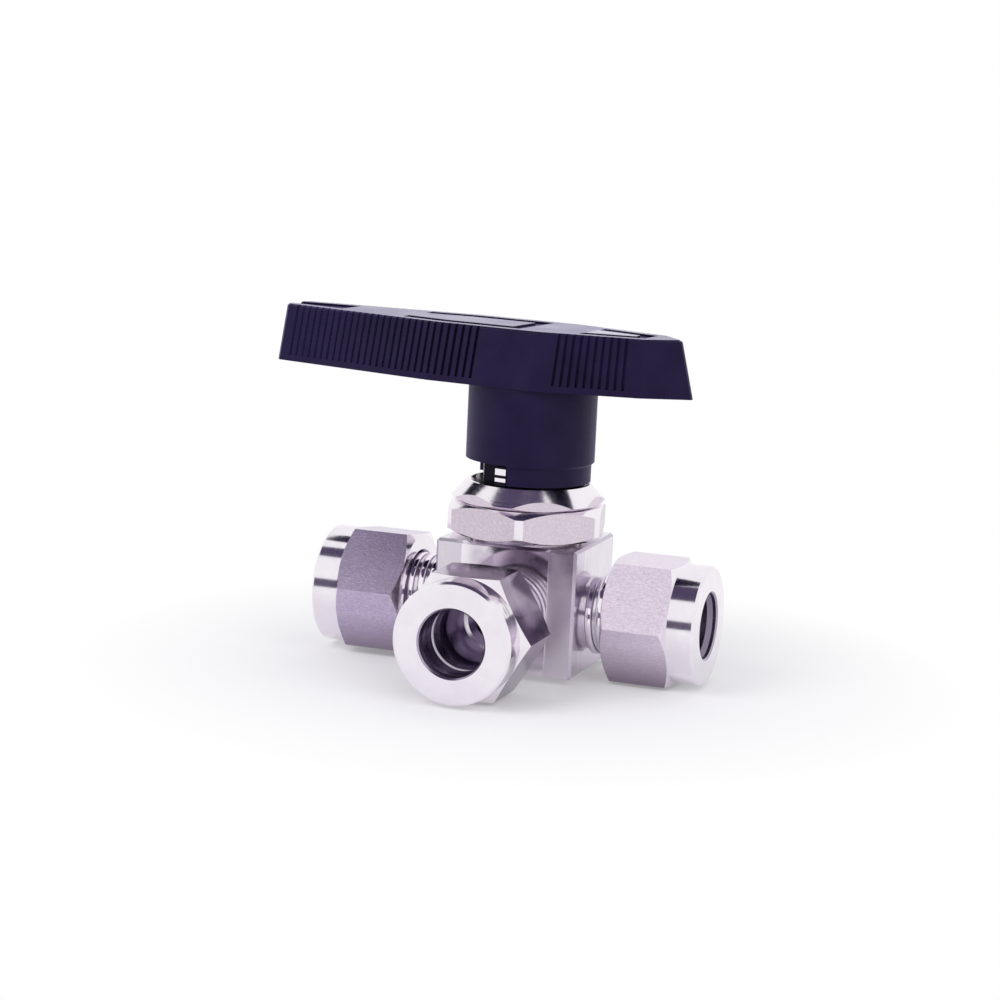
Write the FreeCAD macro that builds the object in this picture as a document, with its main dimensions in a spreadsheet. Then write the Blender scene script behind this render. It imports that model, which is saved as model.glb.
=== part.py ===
"""Three-way ball valve for panel mounting, with tube fittings on its ports.

Millimetres. The origin is where the three port axes meet. +X runs through the
right port, the front port faces -Y and the stem points along +Z.
"""
import FreeCAD, Part
import math
import os
import re

import Sketcher
from FreeCAD import Placement, Rotation, Vector

# Driving dimensions, by the piece that they belong to
SIZES = {
    "tube": {
        "tube_diameter": 12.0,
        "tube_clearance": 0.05,
        "flow_bore": 6.6,
    },
    "body": {
        "block_length": 27.1,
        "block_width": 23.2,
        "block_top": 13.1,
        "block_bottom": 10.7,
        "block_edge": 0.5,
        "land_width": 16.8,
        "land_height": 0.3,
        "end_reach": 28.0,
        "end_thread": 14.3,
        "thread_height": 0.45,
        "end_relief": 13.5,
        "end_relief_length": 1.5,
        "end_chamfer": 0.2,
        "socket_depth": 11.0,
        "cone_length": 3.5,
        "cone_tip_diameter": 13.5,
        "neck_thread": 20.6,
        "neck_relief": 19.4,
        "neck_relief_length": 0.8,
        "neck_top": 22.8,
        "neck_chamfer": 0.4,
        "cavity_diameter": 17.0,
        "cavity_floor": 8.6,
    },
    "ball and stem": {
        "ball_diameter": 14.0,
        "stem_diameter": 7.9,
        "stem_top": 40.0,
        "square_size": 5.6,
        "square_lead": 0.4,
        "stem_chamfer": 0.5,
        "running_clearance": 0.05,
    },
    "packing stack": {
        "packing_top": 9.0,
        "gland_height": 2.0,
        "seal_height": 2.0,
        "bushing_height": 1.5,
        "ring_diameter": 11.2,
        "ring_reach": 9.4,
        "disc_thickness": 0.8,
    },
    "hexagon corners": {
        "hex_bevel": 30.0,
        "hex_bevel_inset": 0.2,
    },
    "packing bolt and stop": {
        "bolt_hex": 17.0,
        "bolt_top": 28.0,
        "stop_thickness": 1.0,
        "stop_tab_width": 2.2,
        "stop_tab_reach": 11.25,
        "stop_tab_top": 27.3,
        "stop_tab_angle": -99.5,
        "stop_clearance": 0.2,
        "stop_play": 0.8,
    },
    "panel nuts": {
        "panel_hex": 28.0,
        "panel_corner_diameter": 31.5,
        "panel_nut_start": 13.8,
        "panel_nut_height": 5.9,
        "lock_hex": 26.4,
        "lock_nut_height": 3.8,
        "lock_cone_diameter": 22.8,
        "lock_cone_drop": 1.9,
        "panel_nut_turn": 43.2,
        "lock_nut_turn": 30.0,
    },
    "tube nuts": {
        "nut_hex": 22.0,
        "nut_length": 17.6,
        "hex_length": 12.6,
        "nut_edge": 0.45,
        "nut_lip": 3.69,
        "nut_entry": 0.5,
        "nut_hole": 12.2,
        "nut_mouth_edge": 0.3,
        "nut_travel": 2.5,
        "right_nut_turn": 0.5,
        "left_nut_turn": 6.9,
        "front_nut_turn": 0.0,
    },
    "ferrules": {
        "ferrule_nose_depth": 2.6,
        "ferrule_flange": 0.25,
        "ferrule_back": 1.6,
        "ferrule_end": 3.95,
        "ferrule_diameter": 14.2,
        "ferrule_gap": 0.08,
        "ferrule_land": 0.2,
        "ferrule_edge": 0.3,
        "ferrule_rear_taper": 0.9,
    },
    "handle": {
        "grip_start": 41.75,
        "grip_height": 10.5,
        "grip_width": 24.0,
        "long_arm": 51.9,
        "short_arm": 31.7,
        "flat_left": 16.0,
        "flat_right": 4.8,
        "long_tip_width": 13.2,
        "nose_start": 24.0,
        "nose_width": 11.2,
        "nose_tip_width": 0.8,
        "side_draft": 2.7,
        "nose_side_draft": 0.6,
        "nose_draft": 2.6,
        "hub_diameter": 23.9,
        "skirt_diameter": 22.8,
        "skirt_bore": 20.4,
        "skirt_start": 23.95,
        "skirt_step": 27.65,
        "hub_cavity_top": 29.4,
        "handle_travel": 90.0,
        "handle_turn": -7.85,
        "grip_corner": 0.9,
        "grip_edge": 0.36,
        "rib_groove": 0.62,
        "rib_groove_floor": 0.35,
        "rib_depth": 0.5,
        "rib_rim": 1.1,
        "long_rib_first": 7.2,
        "long_rib_pitch": 1.477,
        "long_rib_margin": 3.0,
        "short_rib_first": 8.85,
        "short_rib_pitch": 1.34,
        "short_rib_margin": 2.6,
        "recess_depth": 0.45,
        "recess_margin": 1.8,
        "long_recess_end": 39.5,
        "middle_recess_start": 25.0,
        "middle_recess_end": 0.1,
        "short_recess_start": 11.3,
        "island_gap": 2.6,
        "core_depth": 6.6,
        "core_wall": 2.2,
        "core_rib": 1.4,
        "core_hub_margin": 2.0,
    },
    "handle insert and screw": {
        "insert_diameter": 14.0,
        "insert_length": 11.0,
        "square_clearance": 0.1,
        "screw_diameter": 4.0,
        "screw_length": 7.6,
        "screw_height": 34.5,
        "screw_socket": 2.0,
        "screw_socket_depth": 2.2,
        "screw_cup_diameter": 1.2,
        "screw_point_diameter": 2.4,
        "screw_cup_depth": 0.3,
        "screw_lead": 0.7,
        "screw_edge": 0.3,
    },
}
NAMED = {name: size for group in SIZES.values() for name, size in group.items()}

# How far a cutter runs past the material that it cuts
OVERCUT = "1"
# How far one form of a piece reaches into the next, where they are joined
BITE = "0.1"
# Radius just outside a hexagon's corners, as a share of its width across flats
OUTSIDE_HEXAGON = "0.6"

doc = FreeCAD.newDocument("ball_valve")
sheet = doc.addObject("Spreadsheet::Sheet", "Sizes")
parts = []


def fill_sheet():
    """one row for each driving dimension, under its piece's heading"""
    row = 1
    for heading, group in SIZES.items():
        sheet.set(f"A{row}", heading)
        row += 1
        for name, size in group.items():
            sheet.set(f"A{row}", name.replace("_", " "))
            sheet.set(f"B{row}", str(size))
            sheet.setAlias(f"B{row}", name)
            row += 1
    doc.recompute()


def bound(text):
    """the expression with each driving dimension looked up in the sheet"""
    return re.sub(r"[a-z][a-z0-9_]*", lambda word: "Sizes." + word[0] if word[0] in NAMED else word[0], text)


def bind(item, **expressions):
    for prop, text in expressions.items():
        item.setExpression(prop, bound(text))


def new_body(name):
    body = doc.addObject("PartDesign::Body", name)
    body.Label = name
    return body


def new_sketch(body, name, plane, height=None):
    """empty sketch on one of the body's own origin planes, lifted by height"""
    sketch = body.newObject("Sketcher::SketchObject", name)
    role = plane + "_Plane"
    support = [item for item in body.Origin.OriginFeatures if item.Role == role][0]
    sketch.AttachmentSupport = (support, [""])
    sketch.MapMode = "FlatFace"
    if height:
        sketch.setExpression("AttachmentOffset.Base.z", bound(height))
    return sketch


def pin(sketch, element, point, across, up):
    """ties one end of a sketch element to a place given by two expressions"""
    for kind, text, axis in (("DistanceX", across, -2), ("DistanceY", up, -1)):
        if text == "0":
            sketch.addConstraint(Sketcher.Constraint("PointOnObject", element, point, axis))
        else:
            index = sketch.addConstraint(Sketcher.Constraint(kind, -1, 1, element, point, 1.0))
            sketch.setExpression(f"Constraints[{index}]", bound(text))


def outline(body, name, plane, corners, height=None):
    """closed straight-sided sketch through corners, each a pair of expressions"""
    sketch = new_sketch(body, name, plane, height)
    count = len(corners)
    turns = [2 * math.pi * i / count for i in range(count)]
    start = [Vector(math.cos(turn), math.sin(turn), 0) for turn in turns]
    for i in range(count):
        sketch.addGeometry(Part.LineSegment(start[i], start[(i + 1) % count]))
    for i in range(count):
        sketch.addConstraint(Sketcher.Constraint("Coincident", i, 2, (i + 1) % count, 1))
    for i, (across, up) in enumerate(corners):
        pin(sketch, i, 1, across, up)
    return sketch


def circles(body, name, plane, diameters, height=None, centre=("0", "0")):
    """sketch of circles about one centre"""
    sketch = new_sketch(body, name, plane, height)
    for index, diameter in enumerate(diameters):
        sketch.addGeometry(Part.Circle(Vector(0, 0, 0), Vector(0, 0, 1), 1.0 + index))
        pin(sketch, index, 3, *centre)
        size = sketch.addConstraint(Sketcher.Constraint("Diameter", index, 2.0 + 2 * index))
        sketch.setExpression(f"Constraints[{size}]", bound(diameter))
    return sketch


def polygon(body, name, plane, across_flats, sides, height=None):
    """regular polygon about the origin, with a flat crossing the sketch's up axis"""
    corners = []
    for i in range(sides):
        angle = f"{360 * (i + 0.5) / sides + 90:g}"
        radius = f"({across_flats}) / 2 / cos({180 / sides:g})"
        corners.append((f"{radius} * cos({angle})", f"{radius} * sin({angle})"))
    return outline(body, name, plane, corners, height)


def revolve(body, name, plane, axis, corners, kind="Revolution"):
    """full turn of a profile about its sketch's H_Axis or V_Axis"""
    feature = body.newObject("PartDesign::" + kind, name)
    feature.Profile = outline(body, name + "_profile", plane, corners)
    feature.ReferenceAxis = (feature.Profile[0], [axis])
    feature.Angle = 360.0
    return feature


def chamfer_all(body, name, base, size):
    """chamfer on every edge of a feature"""
    doc.recompute()
    feature = body.newObject("PartDesign::Chamfer", name)
    feature.Base = (base, [f"Edge{i + 1}" for i in range(len(base.Shape.Edges))])
    bind(feature, Size=size)


def bevel_hexagon(body, name, across, end, upper, inset="0"):
    """turned bevel on the corners at the upper or lower end of a hexagon"""
    rim = f"({across} / 2 - {inset})"
    far = f"({across} * {OUTSIDE_HEXAGON})"
    fall = f"({far} - {rim}) * tan(hex_bevel)"
    corner = f"{end} - {fall}" if upper else f"{end} + {fall}"
    revolve(body, name, "XZ", "V_Axis", [(rim, end), (far, end), (far, corner)], kind="Groove")


def extrude(body, name, sketch, length, kind="Pad", reverse=False, both=False):
    feature = body.newObject("PartDesign::" + kind, name)
    feature.Profile = sketch
    feature.Reversed = reverse
    feature.Midplane = both
    bind(feature, Length=length)
    return feature


def place(body, position=("0", "0", "0"), rotation=None):
    """puts a finished piece in the valve's frame"""
    body.Placement = Placement(Vector(0, 0, 0), rotation or Rotation())
    for letter, text in zip("xyz", position):
        if text != "0":
            body.setExpression("Placement.Base." + letter, bound(text))


def keep(piece):
    parts.append(piece)
    return piece


# The three ports, as a rotation of a piece's own +Z and the sign of its axis
PORTS = {
    "right": (Rotation(Vector(0, 1, 0), 90), 0, 1),
    "left": (Rotation(Vector(0, 1, 0), -90), 0, -1),
    "front": (Rotation(Vector(1, 0, 0), 90), 1, -1),
}
# Turn about its own axis that puts a tube nut's flat on top
HEX_START = {"right": 90, "left": 90, "front": 0}
# Where the ends' tips lie inside their nuts: a nut is run up, or backed off by its travel
NUT_STAND = {"right": "end_reach", "left": "(end_reach + nut_travel)", "front": "(end_reach + nut_travel)"}
# From an end's tip to the nut's inner cone, which clears the back ferrule's rear cone
FERRULE_SEAT = "(ferrule_end - ferrule_rear_taper + ferrule_diameter / 2 - nut_hole / 2 + 2 * ferrule_gap)"


def along_port(port, distance):
    """position on a port's axis"""
    place_text = ["0", "0", "0"]
    _, axis, sign = PORTS[port]
    place_text[axis] = distance if sign > 0 else f"-({distance})"
    return place_text


def make_body():
    body = new_body("body")
    block = outline(body, "block_outline", "XY", [
        ("-block_length / 2", "-block_width / 2"),
        ("block_length / 2", "-block_width / 2"),
        ("block_length / 2", "block_width / 2"),
        ("-block_length / 2", "block_width / 2"),
    ], height="-block_bottom")
    block_pad = extrude(body, "block", block, "block_top + block_bottom")
    chamfer_all(body, "block_edges", block_pad, "block_edge")
    land = outline(body, "land_outline", "XY", [
        ("-land_width / 2", "-block_width / 2 - land_height"),
        ("land_width / 2", "-block_width / 2 - land_height"),
        ("land_width / 2", "0"),
        ("-land_width / 2", "0"),
    ], height="block_edge - block_bottom")
    extrude(body, "front_land", land, "block_top + block_bottom - 2 * block_edge")

    for port in PORTS:
        plane = "YZ" if port == "front" else "XZ"
        side = "" if port == "right" else "-"
        wall = "block_width / 2" if port == "front" else "block_length / 2"
        relief = f"{wall} + land_height + end_relief_length"
        end = [
            ("block_width / 4", "0"),
            ("block_width / 4", "end_relief / 2"),
            (relief, "end_relief / 2"),
            (f"{relief} + (end_thread - end_relief) / 2", "end_thread / 2"),
            ("end_reach - end_chamfer", "end_thread / 2"),
            ("end_reach", "end_thread / 2 - end_chamfer"),
            ("end_reach", "0"),
        ]
        revolve(body, port + "_end", plane, "H_Axis", [(f"{side}({along})", up) for along, up in end])

    revolve(body, "neck", "XZ", "V_Axis", [
        ("0", "0"),
        ("neck_relief / 2", "0"),
        ("neck_relief / 2", "block_top + neck_relief_length"),
        ("neck_thread / 2", "block_top + neck_relief_length + (neck_thread - neck_relief) / 2"),
        ("neck_thread / 2", "neck_top - neck_chamfer"),
        ("neck_thread / 2 - neck_chamfer", "neck_top"),
        ("0", "neck_top"),
    ])
    revolve(body, "cavity", "XZ", "V_Axis", [
        ("0", "-cavity_floor"),
        ("cavity_diameter / 2", "-cavity_floor"),
        ("cavity_diameter / 2", f"neck_top + {OVERCUT}"),
        ("0", f"neck_top + {OVERCUT}"),
    ], kind="Groove")
    for port in PORTS:
        plane = "YZ" if port == "front" else "XZ"
        side = "" if port == "right" else "-"
        bore = [
            ("0", "0"),
            ("0", "ring_diameter / 2"),
            ("ring_reach + disc_thickness", "ring_diameter / 2"),
            ("ring_reach + disc_thickness", "flow_bore / 2"),
            ("end_reach - socket_depth", "flow_bore / 2"),
            ("end_reach - socket_depth", "tube_diameter / 2 + tube_clearance"),
            ("end_reach - cone_length", "tube_diameter / 2 + tube_clearance"),
            ("end_reach", "cone_tip_diameter / 2"),
            (f"end_reach + {OVERCUT}", "cone_tip_diameter / 2"),
            (f"end_reach + {OVERCUT}", "0"),
        ]
        corners = [(f"{side}({along})" if along != "0" else "0", up) for along, up in bore]
        revolve(body, port + "_bore", plane, "H_Axis", corners, kind="Groove")
    return keep(body)


def make_ball_stem():
    body = new_body("ball_stem")
    ball = body.newObject("PartDesign::AdditiveSphere", "ball")
    bind(ball, Radius="ball_diameter / 2")
    revolve(body, "stem", "XZ", "V_Axis", [
        ("0", "0"),
        ("stem_diameter / 2", "0"),
        ("stem_diameter / 2", "stem_top - stem_chamfer"),
        ("stem_diameter / 2 - stem_chamfer", "stem_top"),
        ("0", "stem_top"),
    ])
    start = "(hub_cavity_top - square_lead)"
    square = circles(body, "square_outline", "XY", [f"stem_diameter + {OVERCUT}"], height=start)
    half = "square_size / 2"
    first = square.GeometryCount
    corners = [(f"-{half}", f"-{half}"), (half, f"-{half}"), (half, half), (f"-{half}", half)]
    spots = [Vector(-1, -1, 0), Vector(1, -1, 0), Vector(1, 1, 0), Vector(-1, 1, 0)]
    for i in range(4):
        square.addGeometry(Part.LineSegment(spots[i], spots[(i + 1) % 4]))
    for i, (across, up) in enumerate(corners):
        square.addConstraint(Sketcher.Constraint("Coincident", first + i, 2, first + (i + 1) % 4, 1))
        pin(square, first + i, 1, across, up)
    extrude(body, "square", square, f"stem_top - {start} + {OVERCUT}", kind="Pocket", reverse=True)
    for port in ("left", "front"):
        plane = "XZ" if port == "front" else "YZ"
        bore = circles(body, port + "_passage_outline", plane, ["flow_bore"])
        extrude(body, port + "_passage", bore, "ball_diameter", kind="Pocket", reverse=port == "front")
    elbow = body.newObject("PartDesign::SubtractiveSphere", "elbow")
    bind(elbow, Radius="flow_bore / 2")
    return keep(body)


def cut_sphere(body, radius):
    hollow = body.newObject("PartDesign::SubtractiveSphere", "ball_seat")
    bind(hollow, Radius=radius)


def cut_ports(body, names=("right", "left", "front")):
    """flow holes through a packing half"""
    for port in names:
        plane = "XZ" if port == "front" else "YZ"
        hole = circles(body, port + "_hole_outline", plane, ["flow_bore"])
        extrude(body, port + "_hole", hole, "cavity_diameter", kind="Pocket", reverse=port != "left")


def make_packing():
    outer = "cavity_diameter / 2 - running_clearance"
    lower = new_body("lower_packing")
    revolve(lower, "form", "XZ", "V_Axis", [
        ("0", "-cavity_floor"), (outer, "-cavity_floor"), (outer, "0"), ("0", "0"),
    ])
    cut_sphere(lower, "ball_diameter / 2 + running_clearance")
    cut_ports(lower)
    keep(lower)
    upper = new_body("upper_packing")
    revolve(upper, "form", "XZ", "V_Axis", [
        ("0", "0"), (outer, "0"), (outer, "packing_top"), ("0", "packing_top"),
    ])
    cut_sphere(upper, "ball_diameter / 2 + running_clearance")
    stem_hole = circles(upper, "stem_hole_outline", "XY", ["stem_diameter + 2 * running_clearance"])
    extrude(upper, "stem_hole", stem_hole, f"packing_top + {OVERCUT}", kind="Pocket", reverse=True)
    cut_ports(upper)
    keep(upper)


def make_stem_rings():
    """the rings stacked on the packing, up to the packing bolt"""
    outer = "cavity_diameter / 2 - running_clearance"
    inner = "stem_diameter / 2 + running_clearance"
    base = "packing_top"
    stack = {"stem_gland": "gland_height", "stem_seal": "seal_height", "stem_bushing": "bushing_height"}
    for name, height in stack.items():
        ring = new_body(name)
        top = f"{base} + {height}"
        revolve(ring, "form", "XZ", "V_Axis", [(inner, base), (outer, base), (outer, top), (inner, top)])
        keep(ring)
        base = top
    return base


def make_packing_bolt(base):
    bolt = new_body("packing_bolt")
    seat = "(neck_top + stop_thickness)"
    shank = "cavity_diameter / 2 - running_clearance"
    head = polygon(bolt, "head_outline", "XY", "bolt_hex", 6, height=seat)
    extrude(bolt, "head", head, f"bolt_top - {seat}")
    bevel_hexagon(bolt, "head_bevel", "bolt_hex", "bolt_top", True)
    inside_head = f"({seat} + bolt_top) / 2"
    revolve(bolt, "shank", "XZ", "V_Axis", [
        ("0", base), (shank, base), (shank, inside_head), ("0", inside_head),
    ])
    bore = circles(bolt, "bore_outline", "XY", ["stem_diameter + 2 * running_clearance"])
    extrude(bolt, "bore", bore, f"bolt_top + {OVERCUT}", kind="Pocket", reverse=True)
    place(bolt)
    bolt.setExpression("Placement.Rotation.Angle", bound("stop_tab_angle + 90"))
    return keep(bolt)


def make_stop_plate():
    plate = new_body("stop_plate")
    inner = "cavity_diameter"
    outer = "(neck_thread - 2 * neck_chamfer)"
    ring = circles(plate, "ring_outline", "XY", [outer, inner], height="neck_top")
    extrude(plate, "ring", ring, "stop_thickness")
    half = "stop_tab_width / 2"
    root = "bolt_hex / 2 + stop_clearance"
    foot = outline(plate, "tab_outline", "XY", [
        (root, f"-{half}"), ("stop_tab_reach", f"-{half}"), ("stop_tab_reach", half), (root, half),
    ], height="neck_top + stop_thickness")
    extrude(plate, "tab", foot, "stop_tab_top - neck_top - stop_thickness")
    place(plate)
    plate.setExpression("Placement.Rotation.Angle", bound("stop_tab_angle"))
    return keep(plate)


def make_hex_nut(name, hexagon, start, height, turn, corner=None, cone=None):
    """nut on the neck, with its corners turned down to a diameter or with a cone on its top"""
    nut = new_body(name)
    extrude(nut, "hexagon", polygon(nut, "hexagon_outline", "XY", hexagon, 6), height)
    if corner:
        rim = f"{corner} / 2"
        waste = [(rim, "0"), (hexagon, "0"), (hexagon, height), (rim, height)]
        revolve(nut, "turned_corners", "XZ", "V_Axis", waste, kind="Groove")
    bevel_hexagon(nut, "lower_bevel", hexagon, "0", False, inset="hex_bevel_inset")
    if cone:
        diameter, cone_drop = cone
        far = f"({hexagon} * {OUTSIDE_HEXAGON})"
        fall = f"{cone_drop} * ({far} - {diameter} / 2) / ({hexagon} / 2 - {diameter} / 2)"
        slope = [(f"{diameter} / 2", height), (far, height), (far, f"{height} - {fall}")]
        revolve(nut, "upper_cone", "XZ", "V_Axis", slope, kind="Groove")
    else:
        bevel_hexagon(nut, "upper_bevel", hexagon, height, True, inset="hex_bevel_inset")
    bore = "neck_thread / 2 + running_clearance"
    revolve(nut, "bore", "XZ", "V_Axis", [
        ("0", f"-{OVERCUT}"),
        (f"{bore} + nut_entry", f"-{OVERCUT}"),
        (f"{bore} + nut_entry", "0"),
        (bore, "nut_entry"),
        (bore, f"{height} - nut_entry"),
        (f"{bore} + nut_entry", height),
        (f"{bore} + nut_entry", f"{height} + {OVERCUT}"),
        ("0", f"{height} + {OVERCUT}"),
    ], kind="Groove")
    place(nut, ("0", "0", start))
    nut.setExpression("Placement.Rotation.Angle", bound(turn))
    return keep(nut)


def make_tube_nut(port):
    nut = new_body(port + "_nut")
    extrude(nut, "hexagon", polygon(nut, "hexagon_outline", "XY", "nut_hex", 6), "hex_length")
    collar = circles(nut, "collar_outline", "XY", ["nut_hex"])
    extrude(nut, "collar", collar, "nut_length")
    bevel_hexagon(nut, "rear_bevel", "nut_hex", "0", False, inset="hex_bevel_inset")
    bevel_hexagon(nut, "front_bevel", "nut_hex", "hex_length", True)
    revolve(nut, "collar_edge", "XZ", "V_Axis", [
        ("nut_hex / 2 - nut_edge", "nut_length"),
        (f"nut_hex / 2 + {OVERCUT}", f"nut_length + {OVERCUT}"),
        (f"nut_hex / 2 + {OVERCUT}", f"nut_length - nut_edge - {OVERCUT}"),
    ], kind="Groove")
    thread = "(end_thread / 2 + thread_height + running_clearance)"
    hole = "nut_hole / 2"
    cone_end = "nut_length - nut_lip"
    revolve(nut, "bore", "XZ", "V_Axis", [
        ("0", f"-{OVERCUT}"),
        (f"{thread} + nut_entry", f"-{OVERCUT}"),
        (f"{thread} + nut_entry", "0"),
        (thread, "nut_entry"),
        (thread, f"{cone_end} - ({thread} - {hole})"),
        (hole, cone_end),
        (hole, "nut_length - nut_mouth_edge"),
        (f"{hole} + nut_mouth_edge", "nut_length"),
        (f"{hole} + nut_mouth_edge", f"nut_length + {OVERCUT}"),
        ("0", f"nut_length + {OVERCUT}"),
    ], kind="Groove")
    turn = Rotation(Vector(0, 0, 1), NAMED[port + "_nut_turn"] + HEX_START[port])
    rear = f"{NUT_STAND[port]} + {FERRULE_SEAT} + nut_lip - nut_length"
    place(nut, along_port(port, rear), PORTS[port][0] * turn)
    return keep(nut)


def make_ferrules(port):
    """front and back ferrule, measured from the tip of the end that they seal"""
    bore = "(tube_diameter / 2 + tube_clearance)"
    slope = f"(cone_tip_diameter / 2 - {bore}) / cone_length"
    wide = "ferrule_diameter / 2"
    lip = "(ferrule_diameter / 2 - ferrule_edge)"
    seat = f"(ferrule_back - ({lip} - {bore}))"
    nose = f"{bore} + (cone_length - ferrule_nose_depth) * {slope} - ferrule_gap"
    shoulder = f"{bore} + (cone_length + ferrule_flange) * {slope} - ferrule_gap"
    front = new_body(port + "_front_ferrule")
    revolve(front, "form", "XZ", "V_Axis", [
        (bore, "-ferrule_nose_depth"),
        (nose, "-ferrule_nose_depth"),
        (shoulder, "ferrule_flange"),
        (wide, "ferrule_flange + ferrule_land"),
        (wide, "ferrule_back"),
        (lip, "ferrule_back"),
        (bore, seat),
    ])
    back = new_body(port + "_back_ferrule")
    revolve(back, "form", "XZ", "V_Axis", [
        (bore, f"{seat} + 2 * ferrule_gap"),
        (lip, "ferrule_back + 2 * ferrule_gap"),
        (wide, "ferrule_back + 2 * ferrule_gap"),
        (wide, "ferrule_end - ferrule_rear_taper"),
        (bore, f"ferrule_end - ferrule_rear_taper + {wide} - {bore}"),
    ])
    for ferrule in (front, back):
        place(ferrule, along_port(port, NUT_STAND[port]), PORTS[port][0])
        keep(ferrule)


def make_side_seats(port):
    """saddle ring against the packing, and the flat disc behind it"""
    outer = "ring_diameter / 2 - running_clearance"
    ring = new_body(port + "_side_ring")
    revolve(ring, "form", "XZ", "V_Axis", [
        ("flow_bore / 2", "cavity_diameter / 4"), (outer, "cavity_diameter / 4"),
        (outer, "ring_reach"), ("flow_bore / 2", "ring_reach"),
    ])
    plane = "XZ" if port == "front" else "YZ"
    saddle = circles(ring, "saddle_outline", plane, ["cavity_diameter"])
    extrude(ring, "saddle", saddle, "2 * ring_diameter", kind="Pocket", both=True)
    disc = new_body(port + "_side_disc")
    revolve(disc, "form", "XZ", "V_Axis", [
        ("flow_bore / 2", "ring_reach"), (outer, "ring_reach"),
        (outer, "ring_reach + disc_thickness"), ("flow_bore / 2", "ring_reach + disc_thickness"),
    ])
    for piece in (ring, disc):
        place(piece, rotation=PORTS[port][0])
        keep(piece)


def half_width(along, draft):
    """half of the grip's width at a station, at its foot for a draft of 0 and at its crown for 1"""
    long_slope = "((grip_width - long_tip_width) / 2 / (long_arm - flat_left))"
    narrowing = f"((grip_width - nose_width) / 2 - {draft} * (side_draft - nose_side_draft))"
    short_slope = f"({narrowing} / (nose_start - flat_right))"
    left = f"{long_slope} * max(-({along}) - flat_left; 0)"
    right = f"{short_slope} * max(({along}) - flat_right; 0)"
    return f"(grip_width / 2 - {draft} * side_draft - {left} - {right})"


def mirrored(front):
    """closed outline from its stations along the grip and the half widths there"""
    back = list(reversed(front))
    return [(along, f"-({wide})") for along, wide in front] + back


def inner_corners(stations, inset):
    """closed outline inside the crown, which follows the grip's taper through stations along it"""
    return mirrored([(along, f"{half_width(along, 1)} - ({inset})") for along in stations])


def grip_section(blank, name, draft, edge, height):
    """level outline of the grip, with one blunt end and one nose, drawn in by the draft and an edge"""
    long_end = f"-(long_arm - {edge})"
    full = [f"{long_end} + grip_corner", "-flat_left", "flat_right", "nose_start"]
    front = [(long_end, f"{half_width(long_end, draft)} - {edge} - grip_corner")]
    front += [(along, f"{half_width(along, draft)} - {edge}") for along in full]
    front += [(f"short_arm - {draft} * nose_draft - 2 * {edge}", "nose_tip_width / 2")]
    return outline(blank, name, "XY", mirrored(front), height=height)


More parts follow.
